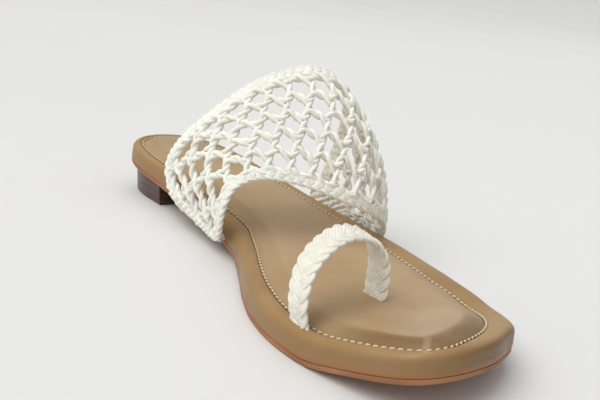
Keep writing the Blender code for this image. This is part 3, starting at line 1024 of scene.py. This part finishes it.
@dataclass
class Sole:
    """Outsole sheet, heel block and footbed."""

    last: Last
    place: Place
    groove: float = 0.2
    sheet_inset: float = 0.2
    heel_front: float = 45.0
    heel_inset: float = 3.0
    heel_taper: float = 1.2
    heel_edge: float = 0.5

    def _stack(self, name: str, rows: Sequence[tuple[np.ndarray, Height, float]]
               ) -> bpy.types.Object:
        """A lofted piece whose caps and rings lie above one another.

        Args:
            name: its name.
            rows: ring, height and share of each level, from the first cap to the last.

        Returns:
            The piece.
        """
        grids = [self.last.grid(ring, height) for ring, height, _ in rows]
        levels = Loft.levels(grids, [share for *_, share in rows])
        return Loft(name, self.place).build(grids[0], levels, grids[-1])

    def outsole(self) -> bpy.types.Object:
        """The thin sheet under the foot.

        Returns:
            The piece.
        """
        under = self.last.under
        ring = inset(self.last.outlines()[0], self.sheet_inset)
        piece = self._stack("outsole_sheet", [
            (inset(ring, 0.7), lambda s: under(s), 1.0),
            (inset(ring, 0.2), lambda s: under(s) + 0.18, 1.0),
            (ring, lambda s: under(s) + 0.7, 1.0),
            (ring, lambda s: under(s) + self.last.outsole - 0.15, 1.0),
            (inset(ring, 0.2), lambda s: under(s) + self.last.outsole, 1.0),
        ])
        Bench.smooth(piece, 50)
        return adopt(piece, SoleEdge().material(), ["outsole"])

    def footbed(self) -> bpy.types.Object:
        """The covered board with its rounded rim and the hollow for the insole.

        Returns:
            The piece.
        """
        rim, under = self.last.rim, self.last.under
        outline, lining = self.last.outlines()
        base = self.last.outsole + 0.05
        wall = inset(lining, -self.groove)
        piece = self._stack("footbed_cover", [
            (wall, lambda s: rim(s) - self.last.recess, 0.0),
            (wall, lambda s: rim(s) - 1.1, 0.0),
            (inset(lining, -0.8), lambda s: rim(s) - 0.75, 0.0),
            (inset(lining, -1.4), lambda s: rim(s) - 0.35, 0.0),
            (inset(lining, -2.0), lambda s: rim(s) - 0.08, 0.0),
            (inset(outline, 3.1), lambda s: rim(s) - 0.08, 0.05),
            (inset(outline, 1.85), lambda s: rim(s) - 0.62, 0.15),
            (inset(outline, 0.85), lambda s: rim(s) - 1.6, 0.3),
            (inset(outline, 0.2), lambda s: rim(s) - 2.9, 0.45),
            (inset(outline, 0.3), lambda s: rim(s) - 4.4, 0.55),
            (inset(outline, 0.05), lambda s: under(s) + base + 2.2, 0.7),
            (inset(outline, 0.05), lambda s: under(s) + base + 1.2, 0.85),
            (inset(outline, 0.1), lambda s: under(s) + base + 0.12, 0.95),
            (inset(outline, 0.4), lambda s: under(s) + base, 1.0),
        ])
        Bench.subdivide(piece, 1)
        Bench.smooth(piece, 70)
        return adopt(piece, TanLeather("tan_cover").material(), ["footbed"])

    def heel(self) -> bpy.types.Object:
        """The low block under the heel, narrower at the floor and cut straight in front.

        Returns:
            The piece.
        """
        outline = self.last.outlines()[0]
        foot = self.heel_inset + self.heel_taper
        grids = []
        for depth, trim, height in (
            (foot + self.heel_edge, self.heel_edge, lambda s: 0.0 * s),
            (foot + 0.1, 0.0, lambda s: 0.0 * s + 0.35),
            (foot, 0.0, lambda s: 0.0 * s + 0.9),
            (self.heel_inset, 0.0, lambda s: self.last.under(s) - self.last.gap),
        ):
            patch = self.last.patch(inset(outline, depth))
            rows = [row for row in patch if row[:, 0].mean() < self.heel_front - 2.5]
            front = patch[len(rows)].copy()
            front[:, 0] = self.heel_front - trim
            grid = np.array(rows + [front])
            grids.append(np.dstack([grid, height(grid[..., 0])]))
        levels = Loft.levels(grids, [1.0] * len(grids))
        piece = Loft("heel_block", self.place).build(grids[0], levels, grids[-1])
        Bench.smooth(piece, 40)
        return adopt(piece, StackedHeel().material(), ["heel"])


@dataclass
class Insole:
    """The padded panel and the stitches round it."""

    last: Last
    place: Place
    rise: float = 2.2
    crown: float = 0.4
    pucker: float = 0.12
    pucker_fades: tuple = (1.0, 0.8, 0.4)
    stitch: float = 2.2
    pitch: float = 2.8
    thread: float = 0.42
    slant: float = 0.24
    uneven: float = 0.06

    def panel(self) -> bpy.types.Object:
        """The padded panel, with small puckers above the seam.

        Returns:
            The piece.
        """
        rim = self.last.rim
        side = inset(self.last.outlines()[1], -0.12)
        rings = [
            (side, lambda s: rim(s) - self.last.recess + self.last.gap, 0.6),
            (side, lambda s: rim(s) - 1.1, 0.6),
            (inset(side, 0.3), lambda s: rim(s) - 0.8, 0.6),
            (inset(side, 1.0), lambda s: rim(s) - 0.3, 0.5),
            (inset(side, 2.4), lambda s: rim(s) + 0.30 * self.rise, 0.5),
            (inset(side, 4.6), lambda s: rim(s) + 0.66 * self.rise, 0.6),
            (inset(side, 6.8), lambda s: rim(s) + 0.92 * self.rise, 0.45),
            (inset(side, 9.2), lambda s: rim(s) + self.rise, 0.05),
        ]
        grids = [self.last.grid(ring, height) for ring, height, _ in rings]
        rows, columns = grids[-1].shape[:2]
        i, j = np.meshgrid(np.arange(rows), np.arange(columns), indexing="ij")
        hump = np.sin(np.pi * j / (columns - 1)) * np.sin(np.pi * i / (rows - 1))
        grids[-1][..., 2] += self.crown * np.sqrt(np.maximum(hump, 0))
        levels = Loft.levels(grids, [share for *_, share in rings])
        folds = np.array([wobble(k // 2, 3.0) for k in range(len(levels[0].points))])
        for level, fade in zip(levels[4:7], self.pucker_fades):
            level.points[:, 2] += self.pucker * fade * folds
        piece = Loft("insole_panel", self.place).build(grids[0], levels, grids[-1])
        Bench.subdivide(piece, 1)
        Bench.smooth(piece, 60)
        # the panel's own tan, painted lighter and paler than the cover's with a sheen of the bright
        # surroundings; its side colour, strongest towards the toe, is painted shade on the padded
        # shoulder that faces the toe
        leather = TanLeather(
            "insole_leather", light=(0.455, 0.315, 0.168), dark=(0.395, 0.262, 0.132),
            side=(0.19, 0.102, 0.028), side_shade_mix=0.9, shade_at_toe=(-0.2, -0.98, 0.086, 0.108),
            low=(0.24, 0.14, 0.05), roughness=0.38,
        )
        return adopt(piece, leather.material(), ["insole"])

    def stitches(self) -> bpy.types.Object:
        """Short threads in the groove, one stitch copied along it.

        Returns:
            The piece.
        """
        lining = inset(self.last.outlines()[1], -0.2)
        ring = np.column_stack([lining, self.last.rim(lining[:, 0]) - 0.5])
        line = evenly(np.vstack([ring, ring[:1]]), 1.0)
        run = lengths(line)
        count = int(round(run[-1] / self.pitch))
        Bench.clear()
        bpy.ops.mesh.primitive_uv_sphere_add(segments=8, ring_count=6, radius=0.5)
        master = bpy.context.object
        bpy.ops.object.mode_set(mode="EDIT")
        bpy.ops.transform.resize(value=(self.stitch / 1000, 2 * self.thread / 1000,
                                        2 * self.thread / 1000))
        bpy.ops.object.mode_set(mode="OBJECT")
        copies = []
        for k in range(count):
            at = run[-1] * (k + 0.5) / count
            here, ahead = (np.array([np.interp(x, run, line[:, a]) for a in range(3)])
                           for x in (at - 0.5, at + 0.5))
            start, end = Vector(self.place(here)), Vector(self.place(ahead))
            twist = Matrix.Rotation(self.slant + self.uneven * wobble(k), 4, "Z")
            turn = (end - start).to_track_quat("X", "Z").to_matrix().to_4x4()
            copy = master.copy()
            copy.data = master.data.copy()
            bpy.context.collection.objects.link(copy)
            copy.data.transform(Matrix.Translation((start + end) / 2) @ turn @ twist)
            copies.append(copy)
        Bench.drop(master)
        piece = Bench.join("stitches", copies)
        Bench.smooth(piece)
        return adopt(piece, Thread().material())


@dataclass
class NetBand:
    """The net of laces over the instep, with a plait along each edge."""

    place: Place
    rows: int = 5
    columns: int = 14
    start: float = 2.75  # where the net begins, in rows of sections from either end
    tuck: float = 0.7    # where the laces end, hidden under the footbed
    gather: tuple = (    # share of the columns, share of the length that they fill
        (0.0, 0.0),
        (0.15, 0.22),
        (0.25, 0.33),
        (0.5, 0.545),
        (1.0, 1.0),
    )
    lean: tuple = (0.8, -0.7)  # how far a column leans, at the inner and the outer end
    front: float = 0.07        # share of the width under the front plait
    rear: float = 0.135        # and under the rear one
    zigzag: float = 0.21       # wave of a line, in rows of holes
    lace: float = 1.0          # radius
    pair_turn: float = 11.0    # length in which a pair turns once
    tie_reach: float = 0.34    # how far a tie swings out, in half columns
    end_count: int = 27
    end_size: float = 0.78     # radius of the laces at the ends, of the lace's
    weave_size: float = 0.72
    weave_rows: int = 3
    plait_size: float = 0.72
    plait_swing: tuple = (1.25, 1.75)  # of a strand from the middle, front and rear
    plait_turn: float = 12.0
    plait_step: float = 0.7
    sections: tuple = (  # front s, w, z; middle s, w, z; rear s, w, z
        (110.5, -14.5, 6.5, 94.0, -12.5, 8.15, 72.0, -14.2, 10.95),
        (111.0, -20.7, 6.5, 94.0, -19.6, 8.15, 71.5, -21.0, 11.05),
        (112.5, -23.8, 7.0, 94.0, -22.8, 7.1, 70.5, -23.8, 10.5),
        (117.8, -26.2, 12.5, 94.0, -24.8, 14.0, 65.5, -25.6, 15.8),
        (122.3, -27.7, 24.0, 94.0, -27.8, 28.0, 58.5, -25.4, 24.5),
        (124.0, -24.0, 33.5, 98.0, -27.0, 39.0, 70.0, -24.5, 40.0),
        (128.0, -15.0, 38.0, 108.0, -19.0, 51.0, 87.0, -19.0, 56.0),
        (135.0, -5.0, 38.0, 117.0, -7.0, 58.5, 95.5, -7.0, 70.0),
        (142.0, 5.0, 35.5, 124.0, 6.0, 61.0, 99.0, 5.0, 77.5),
        (147.0, 16.0, 31.0, 129.0, 19.0, 61.0, 104.0, 18.0, 81.5),
        (147.0, 28.5, 25.8, 131.0, 33.0, 57.0, 105.0, 30.0, 78.0),
        (142.5, 39.5, 20.5, 129.0, 43.0, 46.5, 102.0, 39.0, 68.0),
        (137.5, 46.0, 15.6, 121.0, 48.5, 32.0, 93.0, 45.0, 48.0),
        (134.5, 48.4, 10.9, 113.0, 47.7, 17.5, 86.5, 43.6, 23.0),
        (133.5, 48.8, 7.2, 110.0, 45.9, 9.6, 84.0, 41.7, 12.8),
        (133.0, 45.0, 5.0, 110.0, 42.2, 6.5, 84.0, 38.2, 9.3),
        (132.0, 39.0, 5.0, 110.0, 36.2, 6.5, 85.0, 32.4, 9.2),
    )
    spots: np.ndarray = field(init=False)

    def __post_init__(self) -> None:
        """Works out where the half columns of the net are."""
        fine = np.linspace(self.start, self.last_row - self.start, 241)
        run = lengths(np.array([self.on_band(t, 0.5) for t in fine]))
        columns, places = zip(*self.gather)
        share = np.interp(np.linspace(0, 1, 2 * self.columns + 1), columns, places)
        self.spots = np.interp(share * run[-1], run, fine)

    @property
    def last_row(self) -> int:
        """Number of the last section."""
        return len(self.sections) - 1

    @property
    def step(self) -> float:
        """Width of one row of holes, as a share of the band's."""
        return (1 - self.front - self.rear) / self.rows

    def on_band(self, t: float, v: float) -> np.ndarray:
        """Point in the middle of the band's wall.

        Args:
            t: place along the band, counted in rows of sections.
            v: share of its width, from front to rear.

        Returns:
            The point.
        """
        rows = np.array(self.sections).reshape(len(self.sections), 3, 3)
        i = int(min(max(math.floor(t), 0), len(rows) - 2))
        before = rows[i - 1] if i else 2 * rows[0] - rows[1]
        after = rows[i + 2] if i + 2 < len(rows) else 2 * rows[-1] - rows[-2]
        front, middle, rear = hermite(rows[i], rows[i + 1], (rows[i + 1] - before) / 2,
                                      (after - rows[i]) / 2, t - i)
        return front * (1 - v) * (1 - 2 * v) + middle * 4 * v * (1 - v) + rear * v * (2 * v - 1)

    def outwards(self, t: float, v: float) -> np.ndarray:
        """Direction out of the band's face.

        Args:
            t: place along the band.
            v: share of its width.

        Returns:
            A unit vector.
        """
        along = self.on_band(t + 0.02, v) - self.on_band(t - 0.02, v)
        over = self.on_band(t, v + 0.02) - self.on_band(t, v - 0.02)
        out = np.cross(along, over)
        return out / np.linalg.norm(out)

    def lifted(self, t: float, v: float, lift: float) -> np.ndarray:
        """Point of the band lifted off its middle, outwards."""
        return self.on_band(t, v) + lift * self.outwards(t, v)

    def aside(self, t: float, v: float, rearwards: float, lift: float) -> np.ndarray:
        """Point beside a place on the band.

        Args:
            t: place along the band.
            v: share of its width.
            rearwards: distance towards the rear edge.
            lift: distance outwards.

        Returns:
            The point.
        """
        over = self.on_band(t, v + 0.02) - self.on_band(t, v - 0.02)
        return self.lifted(t, v, lift) + over * (rearwards / np.linalg.norm(over))

    def leaning(self, m: float, v: float) -> float:
        """Place along the band of a half column.

        Args:
            m: its number.
            v: share of the band's width.

        Returns:
            The place, counted in rows of sections.
        """
        inner, outer = self.lean
        slope = inner + (outer - inner) * m / (2 * self.columns)
        return float(np.interp(m, range(len(self.spots)), self.spots)) + slope * (v - 0.5)

    def knot(self, k: int, m: int) -> tuple[float, float]:
        """Where a line crosses a half column, a little off the regular net.

        Args:
            k: the line's number.
            m: the half column's.

        Returns:
            Place along the band and share of its width.
        """
        wave = self.zigzag if 0 < k < self.rows else self.zigzag / 2
        up = 1 if (k + m) % 2 == 0 else -1
        v = self.front + self.step * (k + wave * up + 0.05 * wobble(k, m, 1.0))
        return self.leaning(m + 0.09 * wobble(k, m, 2.0), v), v

    def sunk(self, t: float) -> float:
        """How far the laces stand off the middle: less where they are tucked in."""
        near = min(t, self.last_row - t)
        return 0.2 * min(max(near - 1.5, 0.0), 1.0)

    def net(self) -> bpy.types.Object:
        """The laces between the plaits.

        Returns:
            The piece.
        """
        maker = CordMaker(self.place)
        for k in range(self.rows + 1):
            self._line(maker, k)
        for k in range(self.rows):
            for m in range(2 * self.columns + 1):
                if (k + m) % 2 == 0:
                    self._tie(maker, k, m)
        self._ends(maker)
        piece = maker.build("net_laces")
        return adopt(piece, Cotton("ivory_lace").material(), ["band"])

    def _line(self, maker: CordMaker, k: int) -> None:
        """A twisted pair that runs the band's whole length in a wave.

        Args:
            maker: what it is added to.
            k: the line's number.
        """
        share = self.front + self.step * k
        lead = [(t, share) for t in (self.tuck, 1.3, 2.0)]
        spots = [self.knot(k, m) for m in range(2 * self.columns + 1)]
        tail = [(self.last_row - t, v) for t, v in reversed(lead)]
        rows = lead + spots + tail
        path = through(rows, [6] * len(rows), Joint.OPEN)
        points = np.array([self.lifted(t, v, self.sunk(t)) for t, v in path])
        maker.pair(points, self.lace, self.pair_turn + 0.6 * wobble(k), 1.7 * k)

    def _tie(self, maker: CordMaker, k: int, m: int) -> None:
        """Two laces that cross between two lines and hold them together.

        Args:
            maker: what they are added to.
            k: number of the first line.
            m: number of the half column.
        """
        (t0, v0), (t1, v1) = self.knot(k, m), self.knot(k + 1, m)
        for side in (1, -1):
            line = []
            for x in np.linspace(-0.16, 1.16, 13):
                bend = math.sin(math.pi * (min(max(x, 0), 1) - 0.5)) * self.tie_reach * side
                v = v0 + (v1 - v0) * x
                t = t0 + (t1 - t0) * x
                half = self.leaning(m + 0.5, v) - self.leaning(m - 0.5, v)
                lift = 0.25 + 0.55 * side * math.sin(math.pi * x)
                lift += 0.75 * side * math.cos(math.pi * x)
                line.append(self.lifted(t + half * bend, v, lift))
            maker.lace(through(line, [3] * len(line), Joint.OPEN), self.lace)

    def _ends(self, maker: CordMaker) -> None:
        """Close laces side by side where the band goes under the footbed.

        Args:
            maker: what they are added to.
        """
        for start, edge, back in (
            (self.tuck, 0, -1),
            (self.last_row - self.tuck, 2 * self.columns, 1),
        ):
            for i in range(self.end_count):
                v = 0.015 + 0.97 * i / (self.end_count - 1)
                stop = self.leaning(edge, v)
                line = []
                for x in np.linspace(0, 1.02, 14):
                    t = start + (stop - start) * x
                    line.append(self.lifted(t, v + 0.004 * wobble(i, x), self.sunk(t) - 0.1))
                maker.pair(np.array(line), self.lace * self.end_size, 9.0, i * 1.3)
            for j in range(self.weave_rows):
                weave = []
                for i in range(4 * self.end_count):
                    v = 0.02 + 0.96 * i / (4 * self.end_count - 1)
                    t = self.leaning(edge, v) + back * (0.04 + 0.17 * j)
                    lift = 0.7 + 0.75 * math.sin(math.pi * (i / 4 + j))
                    weave.append(self.lifted(t, v, self.sunk(t) + lift))
                maker.lace(np.array(weave), self.lace * self.weave_size)

    def edges(self) -> bpy.types.Object:
        """The plait along the front and along the rear edge.

        Returns:
            The piece.
        """
        maker = CordMaker(self.place)
        for v, swing in zip((self.front / 2, 1 - self.rear / 2), self.plait_swing):
            fine = np.linspace(self.tuck, self.last_row - self.tuck, 260)
            run = lengths(np.array([self.on_band(t, v) for t in fine]))
            places = np.arange(0, run[-1], self.plait_step)
            even = np.interp(places, run, fine)
            out = np.array([self.outwards(t, v) for t in even])
            for strand in range(3):
                turn = 2 * math.pi * (places / self.plait_turn + strand / 3)
                line = np.array([
                    self.aside(t, v, swing * math.sin(a),
                               self.sunk(t) + 0.1 + 0.6 * math.sin(2 * a))
                    for t, a in zip(even, turn)
                ])
                maker.ribbon(line, out, self.lace * self.plait_size, 3)
        piece = maker.build("edge_plaits")
        return adopt(piece, Cotton("ivory_plait").material(), ["band"])


@dataclass
class ToeRing:
    """The flat plait that holds the big toe."""

    last: Last
    place: Place
    width: float = 10.5
    depth: float = 4.5
    pitch: float = 13.0
    over: float = 0.45
    step: float = 0.7
    lace: float = 0.74
    path: tuple = (  # s, w, height above the rim, front edge outwards and down per mm
        (201.5, -41.2, 0.0, 0.0, 0.0),
        (201.0, -42.6, 8.0, 0.0, 0.05),
        (198.5, -39.6, 17.0, 0.0, 0.1),
        (196.0, -32.4, 23.4, 0.0, 0.15),
        (194.0, -22.0, 26.8, 0.0, 0.2),
        (193.6, -11.8, 24.8, 0.05, 0.2),
        (194.6, -6.2, 18.0, 0.12, 0.1),
        (195.8, -5.4, 9.0, 0.2, 0.0),
        (196.0, -6.0, 0.0, 0.2, 0.0),
    )

    def build(self) -> bpy.types.Object:
        """The plait of three flat strands, each four laces wide.

        Returns:
            The piece.
        """
        rows = [(s, w, float(self.last.rim(np.array(s))) + h) for s, w, h, _, _ in self.path]
        steps = [24] * len(rows)
        loop = through(rows, steps, Joint.OPEN)
        deep = np.array([0, 0, self.depth])
        curve = evenly(np.vstack([loop[:1] - deep, loop, loop[-1:] - deep]), self.step)
        along = np.gradient(curve, axis=0)
        along /= np.linalg.norm(along, axis=1)[:, None]
        leans = through([(1.0, out, -down) for *_, out, down in self.path], steps, Joint.OPEN)
        whole = lengths(loop)
        run = lengths(curve)
        wide = np.column_stack([np.interp(run - self.depth, whole, lean) for lean in leans.T])
        wide -= along * np.sum(wide * along, axis=1)[:, None]
        wide /= np.linalg.norm(wide, axis=1)[:, None]
        out = np.cross(wide, along)
        reach = self.width / 2 - 3.1 * self.lace
        maker = CordMaker(self.place)
        for strand in range(3):
            turn = 2 * math.pi * (run / self.pitch + strand / 3)
            line = curve + wide * (reach * np.sin(turn))[:, None]
            line = line + out * (self.over * np.sin(2 * turn))[:, None]
            maker.ribbon(line, out, self.lace, 4)
        piece = maker.build("toe_plait")
        # a darker, slightly yellower copy of the lace cotton: the darkening is painted shade that
        # dims the ring under the side light
        cotton = Cotton("shaded_ivory_ring", light=(0.87, 0.855, 0.765), dark=(0.8, 0.78, 0.68))
        return adopt(piece, cotton.material(), ["toe_ring"])


@dataclass
class Studio:
    """Backdrop, lights and camera."""

    eye: tuple = (-0.1807, -0.2578, 0.1169)
    down: tuple = (-0.0681, -0.3254, -0.9431)
    aim: tuple = (0.0045, 0.0, 0.0265)
    lens: float = 46.0
    sky_side: tuple = (-0.6, 0.7, 0.3)  # side where the sky is brightest
    sky: tuple = (0.2, 1.1)             # its strength away from there, and there
    floor: tuple = (60.0, 16.0)         # width, depth in metres
    wall: float = 14.0
    curve: float = 5.0
    lamps: tuple = (  # name, side it shines from, width in degrees, power, colour
        ("side_light", (-0.75, 0.05, 1.1), 50.0, 1.2, (1.0, 0.99, 0.97)),
        ("back_light", (-0.05, 0.5, 1.1), 60.0, 0.8, (1.0, 1.0, 0.99)),
    )

    def backdrop(self) -> bpy.types.Object:
        """A pale floor that curves up far behind.

        Returns:
            The backdrop.
        """
        Bench.clear()
        bpy.ops.mesh.primitive_plane_add(size=1)
        floor = bpy.context.object
        floor.name = "backdrop"
        bpy.ops.object.mode_set(mode="EDIT")
        bpy.ops.transform.resize(value=(*self.floor, 1))
        bpy.ops.mesh.select_all(action="DESELECT")
        mesh = Bench.editing(floor)
        for edge in mesh.edges:
            edge.select_set(all(v.co.y > 0 for v in edge.verts))
        bmesh.update_edit_mesh(floor.data)
        bpy.ops.mesh.extrude_region_move(TRANSFORM_OT_translate={"value": (0, 0, self.wall)})
        bpy.ops.object.mode_set(mode="OBJECT")
        Bench.apply(floor, "BEVEL", width=self.curve, segments=16, limit_method="ANGLE")
        Bench.smooth(floor, 60)
        floor.data.materials.append(Paper().material())
        return floor

    @staticmethod
    def light(name: str, place: tuple, spread: float, power: float, colour: tuple) -> None:
        """One soft light that falls evenly on everything.

        Args:
            name: its name.
            place: the side that it shines from.
            spread: its width seen from the floor, in degrees.
            power: its strength.
            colour: its colour.
        """
        data = bpy.data.lights.new(name, "SUN")
        data.angle = math.radians(spread)
        data.energy = power
        data.color = colour
        lamp = bpy.data.objects.new(name, data)
        bpy.context.scene.collection.objects.link(lamp)
        turn = (-Vector(place)).to_track_quat("-Z", "Y").to_matrix().to_4x4()
        lamp.matrix_world = Matrix.Translation(place) @ turn

    def lights(self) -> None:
        """The lamps, and a sky that is brighter behind the inner side."""
        for lamp in self.lamps:
            self.light(*lamp)
        world = bpy.data.worlds.new("pale_sky")
        world.use_nodes = True
        nodes, links = world.node_tree.nodes, world.node_tree.links
        where = nodes.new("ShaderNodeTexCoord").outputs["Generated"]
        turned = nodes.new("ShaderNodeVectorMath")
        turned.operation = "DOT_PRODUCT"
        turned.inputs[1].default_value = Vector(self.sky_side).normalized()
        links.new(where, turned.inputs[0])
        bright = nodes.new("ShaderNodeMapRange")
        bright.inputs["From Min"].default_value = -1.0
        bright.inputs["To Min"].default_value, bright.inputs["To Max"].default_value = self.sky
        links.new(turned.outputs["Value"], bright.inputs["Value"])
        links.new(bright.outputs["Result"], nodes["Background"].inputs["Strength"])
        nodes["Background"].inputs["Color"].default_value = (1, 1, 1, 1)
        bpy.context.scene.world = world
        bpy.context.scene.view_settings.view_transform = "Standard"

    def camera(self) -> None:
        """The camera, rolled as the floor is seen."""
        forward = (Vector(self.aim) - Vector(self.eye)).normalized()
        up = -Vector(self.down)
        up = (up - forward * up.dot(forward)).normalized()
        right = forward.cross(up)
        turn = Matrix((right, up, -forward)).transposed().to_4x4()
        data = bpy.data.cameras.new("camera")
        data.sensor_width = 36.0
        data.lens = self.lens
        data.clip_start = 0.01
        data.clip_end = 50.0
        camera = bpy.data.objects.new("camera", data)
        bpy.context.scene.collection.objects.link(camera)
        camera.matrix_world = Matrix.Translation(self.eye) @ turn
        bpy.context.scene.camera = camera


def main() -> None:
    """Builds the sub-assemblies in order."""
    logging.basicConfig(level=logging.INFO, format="%(message)s")
    last = Last()
    outline = last.outlines()[0]
    shift = float(outline[:, 1].min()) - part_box("footbed")[0].x * 1000
    place = Place(shift, last.length)
    studio = Studio()
    studio.camera()
    studio.backdrop()
    studio.lights()
    sole = Sole(last, place)
    sole.outsole()
    sole.heel()
    sole.footbed()
    insole = Insole(last, place)
    insole.panel()
    insole.stitches()
    band = NetBand(place)
    band.net()
    band.edges()
    ToeRing(last, place).build()


if __name__ == "__main__":
    main()
